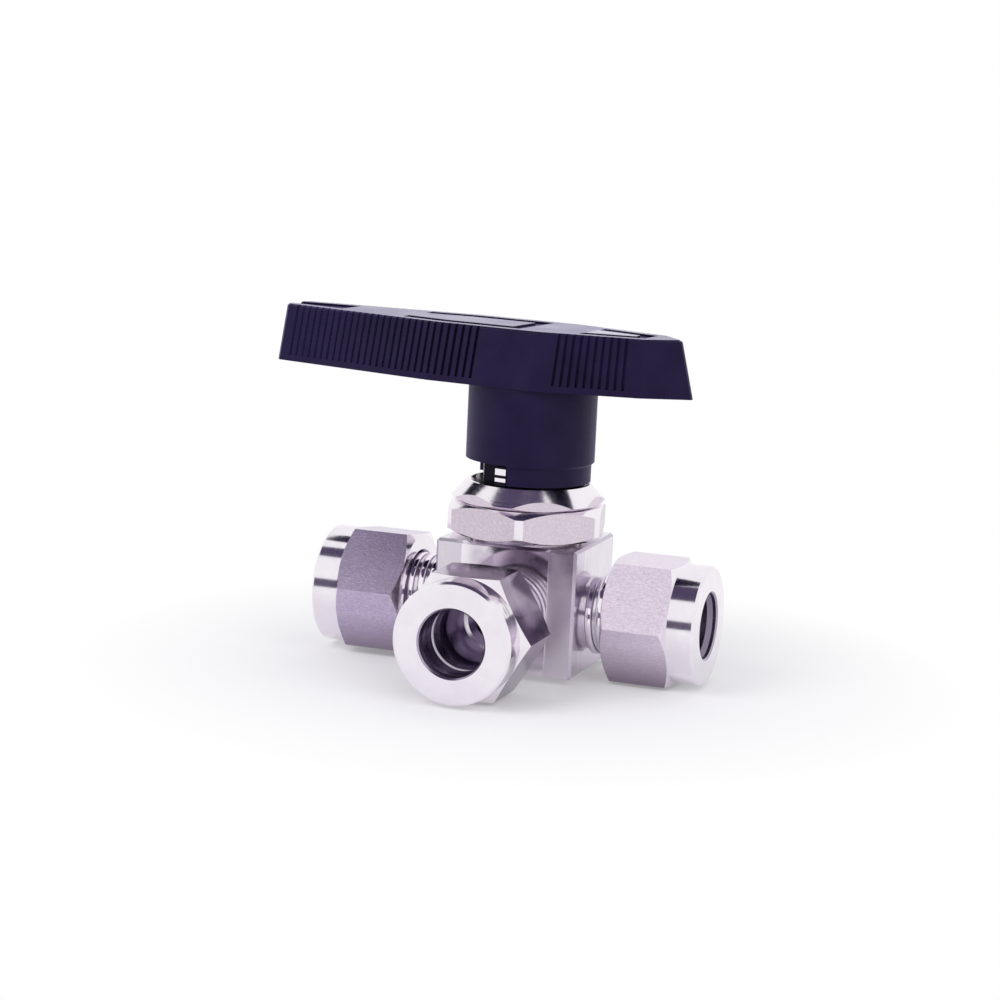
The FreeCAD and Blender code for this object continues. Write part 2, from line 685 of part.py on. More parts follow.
def make_handle():
    blank = new_body("handle_blank")
    crown = "grip_start + grip_height"
    grip = blank.newObject("PartDesign::AdditiveLoft", "grip")
    grip.Profile = grip_section(blank, "grip_foot", 0, "0", "grip_start")
    grip.Sections = [
        grip_section(blank, "grip_shoulder", 1, "0", f"{crown} - grip_edge"),
        grip_section(blank, "grip_crown", 1, "grip_edge", crown),
    ]
    grip.Ruled = True
    revolve(blank, "hub", "XZ", "V_Axis", [
        ("0", "skirt_start"),
        ("skirt_diameter / 2", "skirt_start"),
        ("skirt_diameter / 2", "skirt_step - (hub_diameter - skirt_diameter) / 2"),
        ("hub_diameter / 2", "skirt_step"),
        ("hub_diameter / 2", f"grip_start + {BITE}"),
        ("0", f"grip_start + {BITE}"),
    ])
    cavity = circles(blank, "skirt_bore_outline", "XY", ["skirt_bore"], height="skirt_start")
    extrude(blank, "skirt_cavity", cavity, "hub_cavity_top - skirt_start", kind="Pocket", reverse=True)
    socket = circles(blank, "insert_socket_outline", "XY", ["insert_diameter"], height="hub_cavity_top")
    extrude(blank, "insert_socket", socket, "insert_length", kind="Pocket", reverse=True)
    half_tab = "asin(stop_tab_width / skirt_bore) / 1 deg"
    last = f"(stop_tab_angle - handle_turn + {half_tab} + stop_play)"
    first = f"(stop_tab_angle - handle_turn - handle_travel - {half_tab} - stop_play)"
    rays = [first, f"({first} + {last}) / 2", last]
    notch = outline(blank, "notch_outline", "XY", [("0", "0")] + [
        (f"hub_diameter * cos({ray})", f"hub_diameter * sin({ray})") for ray in rays
    ], height="skirt_start")
    extrude(blank, "notch", notch, "skirt_step - skirt_start", kind="Pocket", reverse=True)

    rim = "grip_edge + recess_margin"
    recesses = {
        "long_recess": [f"-(long_arm - {rim})", "-long_recess_end"],
        "middle_recess": ["-middle_recess_start", "-flat_left", "middle_recess_end"],
        "short_recess": ["short_recess_start", "nose_start - recess_margin / 2"],
    }
    for name, stations in recesses.items():
        recess = outline(blank, name + "_outline", "XY", inner_corners(stations, rim), height=crown)
        extrude(blank, name, recess, "recess_depth", kind="Pocket")
    islands = {
        "middle_island": [f"-middle_recess_start - {BITE}", "-flat_left", "middle_recess_end - island_gap"],
        "short_island": [f"short_recess_start - {BITE}", "nose_start - recess_margin / 2 - island_gap"],
    }
    for name, stations in islands.items():
        corners = inner_corners(stations, f"{rim} + island_gap")
        island = outline(blank, name + "_outline", "XY", corners, height=f"{crown} - recess_depth - {BITE}")
        extrude(blank, name, island, f"recess_depth + {BITE}")
    hub_side = "(hub_diameter / 2 + core_hub_margin)"
    far_side = "(long_arm - 2 * core_wall)"
    web = f"(({hub_side} + {far_side}) / 2)"
    cores = {
        "outer_core": [f"-{far_side}", f"-({web} + core_rib / 2)"],
        "inner_core": [f"-({web} - core_rib / 2)", f"-{hub_side}"],
        "short_core": [hub_side, "nose_start - core_wall"],
    }
    for name, stations in cores.items():
        corners = inner_corners(stations, "core_wall")
        core = outline(blank, name + "_outline", "XY", corners, height="grip_start")
        extrude(blank, name, core, "core_depth", kind="Pocket", reverse=True)
    doc.recompute()

    grooves = doc.addObject("Part::Feature", "rib_grooves")
    grooves.Shape = Part.makeCompound(rib_tools())
    ribbed = doc.addObject("Part::Cut", "ribbed_grip")
    ribbed.Base = blank
    ribbed.Tool = grooves
    drill = doc.addObject("Part::Cylinder", "screw_drill")
    bind(drill, Radius="screw_diameter / 2", Height="hub_diameter")
    drill.Placement = Placement(Vector(0, 0, 0), Rotation(Vector(1, 0, 0), -90))
    drill.setExpression("Placement.Base.z", bound("screw_height"))
    turned = doc.addObject("Part::Cut", "handle")
    ribbed.setExpression("Placement.Rotation.Angle", bound("handle_turn"))
    turned.Base = ribbed
    turned.Tool = drill
    turned.Label = "handle"
    return keep(turned)


def rib_tools():
    """slanted prisms that cut the grooves between the grip's ribs"""
    size = {name: float(sheet.get(name)) for name in NAMED}
    half = size["grip_width"] / 2
    low = size["grip_start"]
    rise = size["grip_height"] - size["grip_edge"]
    mouth = size["rib_groove"] / 2
    floor = size["rib_groove_floor"] / 2
    deep = size["rib_depth"]
    clear = float(OVERCUT) / 2
    profile = ((-mouth, -clear), (mouth, -clear), (mouth, 0), (floor, deep), (-floor, deep), (-mouth, 0))
    long_fall = half - size["long_tip_width"] / 2
    nose_fall = half - size["nose_width"] / 2
    nose_easing = size["side_draft"] - size["nose_side_draft"]
    wings = (
        ("long", -1, size["flat_left"], size["long_arm"], long_fall, 0),
        ("short", 1, size["flat_right"], size["nose_start"], nose_fall, nose_easing),
    )
    tools = []
    for wing, ahead, root, tip, fall, eased in wings:
        first = size[wing + "_rib_first"]
        pitch = size[wing + "_rib_pitch"]
        count = int((tip - size[wing + "_rib_margin"] - first) / pitch) + 1
        for index in range(count):
            along = first + index * pitch
            share = max(along - root, 0) / (tip - root)
            slope = fall / (tip - root) if share else 0
            run = Vector(ahead, -slope, 0).normalize()
            wires = {1: [], -1: []}
            for height in (low + size["rib_rim"], low + size["grip_height"] + clear):
                lean = (size["side_draft"] - eased * share) * (height - low) / rise
                centre = Vector(ahead * along, half - fall * share - lean, height)
                corners = [centre + run * step - Vector(0, inset, 0) for step, inset in profile]
                for side, rings in wires.items():
                    ring = [Vector(p.x, side * p.y, p.z) for p in corners]
                    rings.append(Part.makePolygon(ring + ring[:1]))
            tools += [Part.makeLoft(rings, True, True) for rings in wires.values()]
    return tools


def make_insert():
    insert = new_body("handle_insert")
    outer = "insert_diameter / 2"
    low = "hub_cavity_top"
    top = "hub_cavity_top + insert_length"
    revolve(insert, "form", "XZ", "V_Axis", [("0", low), (outer, low), (outer, top), ("0", top)])
    half = "(square_size / 2 + square_clearance)"
    square = outline(insert, "square_outline", "XY", [
        (f"-{half}", f"-{half}"), (half, f"-{half}"), (half, half), (f"-{half}", half),
    ], height=low)
    extrude(insert, "square", square, f"insert_length + {OVERCUT}", kind="Pocket", reverse=True)
    centre = ("0", "screw_height")
    screw_hole = circles(insert, "screw_hole_outline", "XZ", ["screw_diameter"], centre=centre)
    extrude(insert, "screw_hole", screw_hole, "insert_diameter", kind="Pocket", reverse=False)
    return keep(insert)


def make_screw():
    screw = new_body("handle_screw")
    start = "(square_size / 2)"
    end = "(square_size / 2 + screw_length)"
    radius = "screw_diameter / 2 - running_clearance"
    revolve(screw, "form", "XZ", "V_Axis", [
        ("0", f"{start} + screw_cup_depth"),
        ("screw_cup_diameter / 2", start),
        ("screw_point_diameter / 2", start),
        (radius, f"{start} + screw_lead"),
        (radius, f"{end} - screw_edge"),
        (f"{radius} - screw_edge", end),
        ("0", end),
    ])
    socket = polygon(screw, "socket_outline", "XY", "screw_socket", 6, height=end)
    extrude(screw, "socket", socket, "screw_socket_depth", kind="Pocket")
    place(screw, ("0", "0", "screw_height"), Rotation(Vector(1, 0, 0), -90))
    return keep(screw)


def check_document():
    """stops on any object that failed to rebuild, or whose shape is unsound"""
    for item in doc.Objects:
        if {"Invalid", "Error"} & set(item.State):
            raise RuntimeError(f"{item.Name} failed: {item.State}")
    for piece in parts:
        shape = piece.Shape
        if shape.isNull() or not shape.isValid() or len(shape.Solids) != 1:
            raise RuntimeError(f"{piece.Label}: {len(shape.Solids)} solids, valid {shape.isValid()}")


fill_sheet()
make_body()
make_ball_stem()
make_packing()
stack_top = make_stem_rings()
make_packing_bolt(stack_top)
make_stop_plate()
make_hex_nut("panel_nut", "panel_hex", "panel_nut_start", "panel_nut_height", "panel_nut_turn",
             corner="panel_corner_diameter")
lock_start = "panel_nut_start + panel_nut_height"
make_hex_nut("lock_nut", "lock_hex", lock_start, "lock_nut_height", "lock_nut_turn",
             cone=("lock_cone_diameter", "lock_cone_drop"))
for port_name in PORTS:
    make_tube_nut(port_name)
    make_ferrules(port_name)
    make_side_seats(port_name)
make_handle()
make_insert()
make_screw()
doc.recompute()
check_document()

os.makedirs("parts", exist_ok=True)
for piece in parts:
    piece.Shape.exportStep(f"parts/{piece.Label}.step")
    print(piece.Label, round(piece.Shape.Volume, 2), [round(v, 2) for v in (
        piece.Shape.BoundBox.XMin, piece.Shape.BoundBox.XMax, piece.Shape.BoundBox.YMin,
        piece.Shape.BoundBox.YMax, piece.Shape.BoundBox.ZMin, piece.Shape.BoundBox.ZMax)])
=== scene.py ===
"""Looks of the three-way ball valve: finishes, screw threads, floor, lights and camera.

Metres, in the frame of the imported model: the port axes meet at the origin, +X runs
through the right port, the front port faces -Y and the stem points along +Z.
"""
import math

import bpy
from mathutils import Matrix, Vector


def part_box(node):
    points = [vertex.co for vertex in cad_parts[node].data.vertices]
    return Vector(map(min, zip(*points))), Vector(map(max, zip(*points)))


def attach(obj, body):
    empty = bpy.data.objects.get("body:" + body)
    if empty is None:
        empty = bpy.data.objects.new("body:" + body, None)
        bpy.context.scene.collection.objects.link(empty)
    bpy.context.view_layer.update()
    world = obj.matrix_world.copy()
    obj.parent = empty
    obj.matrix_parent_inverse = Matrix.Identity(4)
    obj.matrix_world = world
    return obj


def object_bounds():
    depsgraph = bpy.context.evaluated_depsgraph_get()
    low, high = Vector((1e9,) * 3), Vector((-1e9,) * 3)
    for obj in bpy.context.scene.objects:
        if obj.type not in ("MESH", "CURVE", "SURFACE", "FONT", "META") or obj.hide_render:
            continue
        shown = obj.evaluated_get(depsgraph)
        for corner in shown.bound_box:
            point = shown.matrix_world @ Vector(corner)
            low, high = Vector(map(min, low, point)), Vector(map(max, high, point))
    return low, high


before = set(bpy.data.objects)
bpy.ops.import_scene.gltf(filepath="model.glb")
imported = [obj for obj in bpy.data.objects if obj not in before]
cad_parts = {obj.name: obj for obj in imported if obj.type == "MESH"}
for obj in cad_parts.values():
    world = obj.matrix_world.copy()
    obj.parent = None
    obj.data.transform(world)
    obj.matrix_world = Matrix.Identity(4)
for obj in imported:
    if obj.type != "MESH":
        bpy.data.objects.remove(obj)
cad_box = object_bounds()

MM = 0.001
SIDEWAYS = Vector((1, 0, 0))
BACKWARD = Vector((0, 1, 0))
UP = Vector((0, 0, 1))
PORT_AXES = {"right": Vector((1, 0, 0)), "left": Vector((-1, 0, 0)), "front": Vector((0, -1, 0))}

# Camera, fitted to the nuts, ports, block and handle of the photograph
CAMERA_AZIMUTH = math.radians(19.17)
CAMERA_ELEVATION = math.radians(9.85)
CAMERA_ROLL = math.radians(2.66)
CAMERA_DISTANCE = 486.37 * MM
CAMERA_SIDE = -4.328 * MM
CAMERA_RISE = 19.433 * MM
CAMERA_LENS = 93.6
CAMERA_SENSOR = 36.0
CAMERA_CLIP = 10 * MM

# Lamps, seen in no reflection: azimuth and elevation in degrees, size in metres, power in watts
LAMPS = {"key": (-35, 40, 0.4, 2.0), "fill": (60, 35, 0.5, 0.9), "top": (170, 70, 0.5, 0.8)}
LAMP_DISTANCE = 0.7
# Dark cards, seen in reflections only: their reach in azimuth and elevation, and their tone
CARDS = {
    "upper_card": ((-75, 75), (53, 81), (0.08, 0.06, 0.12, 1)),
    "lower_card": ((-60, 30), (-0.6, 14), (0.12, 0.10, 0.16, 1)),
}
CARD_DISTANCE = 0.9
CARD_ROWS = 6
CARD_COLUMNS = 16
WHITE = (1, 1, 1, 1)
ROOM_COLOUR = (0.95, 0.94, 1.0, 1)
ROOM_STRENGTH = 0.5

# Floor, which goes from shaded to pure white over a distance
FLOOR_REACH = 3.0
FLOOR_COLOUR = (0.92, 0.91, 0.94, 1)
FLOOR_ROUGHNESS = 0.9
FLOOR_SPECULAR = 0.1
FLOOR_NEAR = 30 * MM
FLOOR_FAR = 85 * MM
FLOOR_WHITE_NEAR = 0.25

# Block, and its polished front land between two brushed strips, with painted dark reflections on its
# front face
BLOCK_HALF_LENGTH = 13.55 * MM
BLOCK_HALF_WIDTH = 11.9 * MM
LAND_HALF_LENGTH = 8.4 * MM
LAND_PLANE = -11.0 * MM
CHAMFER_START = BLOCK_HALF_LENGTH - 0.8 * MM
CHAMFER_END = BLOCK_HALF_LENGTH + 0.05 * MM
# Painted dark reflection on the front face: the heights and places across over which it comes in, how much
# of it shows, and the least of it in its blotches
LAND_SHADE_HEIGHTS = (5.5 * MM, 9.5 * MM)
LAND_SHADE_PLACES = (-8 * MM, -4 * MM)
LAND_SHADE_SHARE = 0.75
LAND_SHADE_LEAST = 0.35

# Screw threads on the three male ends
THREAD_ROOT = 7.15 * MM
THREAD_CREST = 7.6 * MM
THREAD_ROUNDING = THREAD_CREST - 0.12 * MM
THREAD_BURIED = THREAD_ROOT - 0.45 * MM
THREAD_DARK_BELOW = THREAD_CREST - 0.18 * MM
THREAD_PITCH = 2.0 * MM
THREAD_RELIEF = 0.1 * MM
THREAD_END = 27.7 * MM
THREAD_STEPS = 72
THREAD_RUN_IN = 0.25 * THREAD_STEPS
# Section of the ridge: how far along the pitch each corner stands, as a share of it, and its radius
THREAD_SECTION = (
    (0.02, THREAD_BURIED), (0.14, THREAD_ROUNDING), (0.24, THREAD_CREST),
    (0.64, THREAD_CREST), (0.74, THREAD_ROUNDING), (0.86, THREAD_BURIED),
)

# Tube sockets: where their shoulders stand, and the rings in them that catch the light. Around the
# rings the walls and shoulders carry painted shade, and the ring at a nut's mouth is darker still
SHOULDER = 17.0 * MM
SHOULDER_PLAY = 0.1 * MM
SOCKET_RADIUS = 6.05 * MM
SHOULDER_RING = (4.7 * MM, 5.5 * MM)
SHOULDER_SLOPE = 0.4
FERRULE_RING = (-0.45 * MM, 0.45 * MM)
FERRULE_SLOPE = 2.5
MOUTH_RING = (0.9 * MM, 2.0 * MM)
MOUTH_SLOPE = 2.0

# Nuts: length of the collar, the heights over which painted shade darkens the feet of the flats,
# and the turned corners of the panel nut
COLLAR_LENGTH = 5.05 * MM
FOOT_HEIGHTS = (-3 * MM, -10.5 * MM)
FOOT_SHARE = 0.95
PANEL_CORNER = 15.72 * MM

# Heights of the two bars of painted highlight on the stop tab
STOP_BARS = ((24.5 * MM, 25.2 * MM), (25.75 * MM, 26.9 * MM))

# Grip of the handle: how it is turned on the stem, its outline and its ribs
HANDLE_TURN = math.radians(-7.85)
HANDLE_ALONG = (math.cos(HANDLE_TURN), math.sin(HANDLE_TURN), 0)
HANDLE_ACROSS = (-math.sin(HANDLE_TURN), math.cos(HANDLE_TURN), 0)
GRIP_START = 41.75 * MM
GRIP_RISE = 10.14 * MM
GRIP_RIM = 1.1 * MM
GRIP_TOP_PLAY = 0.3 * MM
GRIP_HALF_WIDTH = 12.0 * MM
GRIP_DRAFT = 2.7 * MM
GRIP_FLAT_LEFT = 16.0 * MM
GRIP_FLAT_RIGHT = 4.8 * MM
GRIP_LEFT_SLOPE = 5.4 / 35.9
GRIP_RIGHT_SLOPE = 6.4 / 19.2
RIBS_START = -50.0 * MM
RIBS_END = 21.8 * MM
RIB_DEPTHS = (0.12 * MM, 0.7 * MM)
# Smooth islands on its crown: start, end and half width of each, and how polished it is
ISLANDS = ((-25.1 * MM, -2.5 * MM, 5.0 * MM, 0.25), (11.2 * MM, 20.5 * MM, 3.4 * MM, 1.0))
CROWN_PLAY = 0.2 * MM

# How far a face looks along an axis, from -1 to 1: sides lie below the first limit, flat ends above
# the second, bevels and chamfers between the next pairs, and the walls of bores below the last
SIDE_FACING = 0.2
END_FACING = 0.9
BEVEL_FACING = (0.2, 0.95)
CHAMFER_FACING = (0.3, 0.9)
BORE_FACING = -0.3

# Kinds of noise: detail and roughness. Nearly all of a noise lies in the range that follows them
GRAIN_NOISE = (4.0, 0.6)
FLECK_NOISE = (3.0, 0.7)
SPARK_NOISE = (3.0, 0.6)
STREAK_NOISE = (2.0, 0.6)
SMUDGE_NOISE = (2.0, 0.5)
NOISE_RANGE = (0.3, 0.7)
# Narrower ranges, for marks with sharper edges
GRAIN_EDGE = (0.36, 0.64)
SATIN_EDGE = (0.35, 0.65)
CLOUD_EDGE = (0.40, 0.60)
PATCH_EDGE = (0.46, 0.60)
STREAK_EDGE = (0.42, 0.60)

# Sizes of the grain and of the marks on each finish
NUT_RINGS = 0.16 * MM
NUT_LINES = (0.11 * MM, 1.6 * MM)
NUT_FLECKS = (0.3 * MM, 0.6 * MM)
NUT_STREAKS = (4 * MM, 0.3 * MM)
NUT_SMUDGES = 4 * MM
NUT_CLOUDS = 9 * MM
FLECK_SHARE = 0.6
BODY_LINES = (0.10 * MM, 3.0 * MM)
BODY_SMUDGES = 5 * MM
PANEL_RINGS = 0.25 * MM
PANEL_GRAIN = 0.4 * MM
TURNED_RINGS = 0.14 * MM
TURNED_SMUDGES = 3 * MM
NYLON_GRAIN = 0.22 * MM
NYLON_SMUDGES = 6 * MM
SEAT_SMUDGES = 2 * MM

# Bumps: depth and strength
NUT_BUMP = (0.016 * MM, 0.5)
BODY_BUMP = (0.01 * MM, 0.5)
FERRULE_BUMP = (0.01 * MM, 0.8)
PANEL_BUMP = (0.01 * MM, 0.4)
TURNED_BUMP = (0.006 * MM, 0.4)
NYLON_BUMP = (0.02 * MM, 0.3)
# How deep the rings are on turned faces and on bevels, and in the ferrules' bores
RING_DEPTHS = (0.3, 0.9)
FERRULE_RING_DEPTH = 3.0
# How deep the lines are on brushed faces and on the polished land
LINE_DEPTHS = (0.7, 0.12)

# Colours of the metals, of the marks on them and of the seats, with the painted shade and painted
# dark reflections on the metals
STEEL_BRIGHT = (0.89, 0.84, 0.90, 1)
STEEL_DULL = (0.60, 0.53, 0.64, 1)
SATIN_PALE = (0.74, 0.65, 0.74, 1)
SATIN_DULL = (0.66, 0.57, 0.66, 1)
# Painted shade at the feet of the nuts' flats
PAINTED_FOOT_SHADE = (0.27, 0.22, 0.29, 1)
# Painted shade in bores, sockets and thread roots, and a darker painted shade at the nuts' mouths
PAINTED_BORE_SHADE = (0.42, 0.36, 0.48, 1)
PAINTED_SOCKET_SHADE = (0.36, 0.30, 0.42, 1)
PAINTED_MOUTH_SHADE = (0.24, 0.20, 0.28, 1)
# Painted dark reflections: streaks on a collar, clouds on the flats, and blotches on the block's front
PAINTED_STREAK_REFLECTION = (0.10, 0.08, 0.12, 1)
PAINTED_DARK_REFLECTION = (0.17, 0.13, 0.20, 1)
PAINTED_LAND_REFLECTION = (0.28, 0.22, 0.32, 1)
# Dark oxide of the set screw, also used as painted shade on the packing bolt and the stop plate
DARK_OXIDE_AND_SHADE = (0.016, 0.014, 0.022, 1)
DARKER_OXIDE_AND_SHADE = (0.008, 0.007, 0.012, 1)
BRASS = (0.75, 0.58, 0.28, 1)
BRASS_DULL = (0.60, 0.45, 0.20, 1)
SEAT_PALE = (0.88, 0.87, 0.85, 1)
SEAT_DULL = (0.80, 0.79, 0.76, 1)

# Tube nuts: pale and dull grain of the flats, how smooth and how coarse it is, how deep it is, the
# streaks on the collar and the dark clouds on the flats. The nuts are one steel: their different
# pale and dull tones are painted light and shade, and the streaks and clouds are painted dark
# reflections
NUT_LOOKS = {
    "right": {
        "pale": (0.84, 0.74, 0.86, 1), "dull": (0.64, 0.55, 0.68, 1), "roughness": (0.16, 0.27),
        "grain": 1.0, "streaks": 0.0, "reflection_clouds": 0.0,
    },
    "left": {
        "pale": (0.69, 0.59, 0.78, 1), "dull": (0.47, 0.39, 0.56, 1), "roughness": (0.15, 0.25),
        "grain": 1.0, "streaks": 0.0, "reflection_clouds": 0.1,
    },
    "front": {
        "pale": (0.50, 0.42, 0.54, 1), "dull": (0.40, 0.33, 0.44, 1), "roughness": (0.09, 0.16),
        "grain": 0.3, "streaks": 0.7, "reflection_clouds": 0.65,
    },
}

# Roughness of each finish. A pair runs from its smoothest to its coarsest places
BORE_ROUGHNESS = 0.24
FERRULE_ROUGHNESS = 0.12
CHAMFER_ROUGHNESS = 0.35
STOP_ROUGHNESS = 0.3
STOP_BAR_ROUGHNESS = 0.12
COLLAR_ROUGHNESS = (0.08, 0.16)
LAND_ROUGHNESS = (0.08, 0.15)
SIDE_ROUGHNESS = (0.12, 0.24)
STRIP_ROUGHNESS = (0.30, 0.42)
BEVEL_ROUGHNESS = (0.10, 0.18)
SATIN_ROUGHNESS = (0.26, 0.36)
THREAD_ROUGHNESS = (0.06, 0.2)
SEAT_RING_ROUGHNESS = (0.10, 0.18)
POLISHED_ROUGHNESS = (0.06, 0.14)
BOLT_ROUGHNESS = (0.25, 0.4)
BRASS_ROUGHNESS = (0.2, 0.35)
SCREW_ROUGHNESS = (0.3, 0.45)
SEAT_ROUGHNESS = (0.35, 0.5)

# How much dull steel shows: in smudges on turned faces, and in the grain of the block's sides, its
# strips and its land. The strips get less of it than the sides as painted light
COLLAR_DULLING = (0.0, 0.2)
TURNED_DULLING = (0.0, 0.4)
LINE_DULLING_LEAST = 0.1
SIDE_DULLING = 0.8
STRIP_DULLING_AND_LIGHT = 0.3
LAND_DULLING = 0.3

# Nylon: near-black with a violet cast, and paler on the crown as painted light. Its grooves darken
# from the first colour to the second between two places on the grip: the first, paler than the
# nylon, is painted light, and the second, darker, is painted shade
NYLON_COLOURS = ((0.009, 0.006, 0.030, 1), (0.014, 0.010, 0.042, 1))
GROOVE_PAINTED_LIGHT_AND_SHADE = ((0.040, 0.032, 0.095, 1), (0.005, 0.0035, 0.015, 1))
GROOVE_PLACES = (-42 * MM, -12 * MM)
PAINTED_CROWN_LIGHT = (0.026, 0.020, 0.085, 1)
CROWN_GLOSS = (0.4, 0.75)
CROWN_ROUGHNESS = (0.26, 0.36)
NYLON_ROUGHNESS = (0.40, 0.55)
ISLAND_ROUGHNESS = 0.08
NYLON_SPECULAR = 0.15
SIDE_TINT = (0.95, 0.80, 1.0, 1)
CROWN_TINT = (0.86, 0.80, 1.0, 1)
COAT_ROUGHNESS = 0.2
COAT_TINT = (0.93, 0.92, 1.0, 1)
SHEEN = 0.3
SHEEN_ROUGHNESS = 0.35
SHEEN_TINT = (0.55, 0.38, 1.0, 1)

# Sockets of a Mix node: its factor and its two colours go in, and the mixed colour comes out
MIX_INPUTS = (0, 6, 7)
MIX_OUTPUT = 2


def direction(azimuth, elevation):
    """unit vector that points out at an azimuth from the front and an elevation, in radians"""
    return Vector((
        math.sin(azimuth) * math.cos(elevation),
        -math.cos(azimuth) * math.cos(elevation),
        math.sin(elevation),
    ))


def make_camera():
    """camera that looks past the origin from a distance, rolled and moved sideways and up"""
    back = direction(CAMERA_AZIMUTH, CAMERA_ELEVATION)
    level = Vector((math.cos(CAMERA_AZIMUTH), math.sin(CAMERA_AZIMUTH), 0))
    upright = back.cross(level)
    right = math.cos(CAMERA_ROLL) * level + math.sin(CAMERA_ROLL) * upright
    up = math.cos(CAMERA_ROLL) * upright - math.sin(CAMERA_ROLL) * level
    turn = Matrix((right, up, back)).transposed().to_4x4()
    lens = bpy.data.cameras.new("camera")
    lens.lens = CAMERA_LENS
    lens.sensor_width = CAMERA_SENSOR
    lens.clip_start = CAMERA_CLIP
    camera = bpy.data.objects.new("camera", lens)
    bpy.context.scene.collection.objects.link(camera)
    spot = CAMERA_SIDE * right + CAMERA_RISE * up + CAMERA_DISTANCE * back
    camera.matrix_world = Matrix.Translation(spot) @ turn
    bpy.context.scene.camera = camera


class Graph:
    """a tree of shader nodes, with short ways to add and join them"""

    def __init__(self, tree):
        self.tree = tree

    def add(self, kind, *inputs, **settings):
        """adds a node, with numbers, colours or other nodes' sockets for its first inputs"""
        node = self.tree.nodes.new("ShaderNode" + kind)
        for name, value in settings.items():
            setattr(node, name, value)
        for socket, value in zip(node.inputs, inputs):
            self.give(socket, value)
        return node

    def give(self, socket, value):
        """links another socket to an input, or sets its value, or leaves it as it is for None"""
        if isinstance(value, bpy.types.NodeSocket):
            self.tree.links.new(value, socket)
        elif value is not None:
            socket.default_value = value

    def math(self, operation, *inputs):
        return self.add("Math", *inputs, operation=operation).outputs[0]

    def times(self, first, second):
        return self.math("MULTIPLY", first, second)

    def plus(self, first, second):
        return self.math("ADD", first, second)

    def minus(self, first, second):
        return self.math("SUBTRACT", first, second)

    def both(self, first, second):
        """1 where two masks are 1"""
        return self.times(first, second)

    def either(self, first, second):
        """1 where one of two masks is 1, or the larger of two numbers"""
        return self.math("MAXIMUM", first, second)

    def beside(self, mask):
        """1 where a mask is 0"""
        return self.minus(1.0, mask)

    def above(self, value, limit):
        """1 where a number is above a limit, and 0 elsewhere"""
        return self.math("GREATER_THAN", value, limit)

    def below(self, value, limit):
        """1 where a number is below a limit, and 0 elsewhere"""
        return self.math("LESS_THAN", value, limit)

    def within(self, value, low, high):
        """1 where a number lies between two others, and 0 elsewhere"""
        return self.both(self.above(value, low), self.below(value, high))

    def size(self, value):
        """a number without its sign"""
        return self.math("ABSOLUTE", value)

    def vector(self, operation, *inputs):
        return self.add("VectorMath", *inputs, operation=operation).outputs[0]

    def dot(self, first, second):
        return self.add("VectorMath", first, second, operation="DOT_PRODUCT").outputs["Value"]

    def length(self, vector):
        return self.add("VectorMath", vector, operation="LENGTH").outputs["Value"]

    def place(self):
        return self.add("TexCoord").outputs["Object"]

    def facing(self, axis):
        """how far a face looks along an axis, from -1 to 1"""
        return self.dot(self.add("TexCoord").outputs["Normal"], axis)

    def noise(self, vector, kind):
        """noise of a kind, whose features are about 1 unit of the vector"""
        detail, roughness = kind
        node = self.add("TexNoise", vector)
        node.inputs["Scale"].default_value = 1.0
        node.inputs["Detail"].default_value = detail
        node.inputs["Roughness"].default_value = roughness
        return node.outputs[0]

    def span(self, value, limits, low=0.0, high=1.0):
        """number that goes from low to high as another goes from one limit to the other"""
        return self.add("MapRange", value, limits[0], limits[1], low, high).outputs[0]

    def grade(self, noise, low, high):
        """number that goes from low to high with a noise"""
        return self.span(noise, NOISE_RANGE, low, high)

    def mix(self, factor, first, second):
        """colour between first and second"""
        node = self.add("Mix", data_type="RGBA")
        for index, value in zip(MIX_INPUTS, (factor, first, second)):
            self.give(node.inputs[index], value)
        return node.outputs[MIX_OUTPUT]

    def blend(self, factor, first, second):
        """number between first and second"""
        return self.add("Mix", factor, None, first, second, data_type="FLOAT").outputs[0]

    def bump(self, height, depth, strength):
        node = self.add("Bump")
        node.inputs["Strength"].default_value = strength
        node.inputs["Distance"].default_value = depth
        self.give(node.inputs["Height"], height)
        return node.outputs[0]

    def from_axis(self, place, axis):
        """the part of a position that lies across an axis"""
        return self.vector("SUBTRACT", place, self.vector("MULTIPLY", place, [abs(part) for part in axis]))

    def in_bore(self, place, axis):
        """1 on the walls of bores, whose faces look towards their own axis"""
        outward = self.vector("NORMALIZE", self.from_axis(place, axis))
        return self.below(self.facing(outward), BORE_FACING)

    def rings(self, place, axis, pitch):
        """fine rings about an axis, as a lathe tool leaves them"""
        out = self.times(self.length(self.from_axis(place, axis)), 1 / pitch)
        along = self.times(self.dot(place, axis), 1 / pitch)
        return self.noise(self.add("CombineXYZ", out, along).outputs[0], GRAIN_NOISE)

    def streaks(self, place, axis, sizes, kind):
        """noise whose features have one size across an axis and another along it"""
        across, along = sizes
        scale = [1 / across + (1 / along - 1 / across) * abs(part) for part in axis]
        return self.noise(self.vector("MULTIPLY", place, scale), kind)

    def speckle(self, place, size, kind):
        """noise with features of one size"""
        return self.noise(self.vector("MULTIPLY", place, [1 / size] * 3), kind)


class Finish(Graph):
    """a material's nodes, which end in its shader"""

    def __init__(self, name):
        self.material = bpy.data.materials.new(name)
        self.material.use_nodes = True
        super().__init__(self.material.node_tree)
        self.shader = self.tree.nodes["Principled BSDF"]

    def set(self, **inputs):
        """gives values to the shader's inputs, whose names are written with _ for a space"""
        for name, value in inputs.items():
            self.give(self.shader.inputs[name.replace("_", " ")], value)

    def metal(self, colour, roughness, normal):
        self.set(Base_Color=colour, Roughness=roughness, Normal=normal, Metallic=1.0)
        return self.material

    def end_in(self, shader):
        """replaces the shader at the end"""
        self.tree.links.new(shader.outputs[0], self.tree.nodes["Material Output"].inputs[0])
        return self.material


def climb(start, end, slope, bump):
    """how high a slope climbs from start to end, as a multiple of a bump's depth"""
    return slope * (end - start) / bump[0]


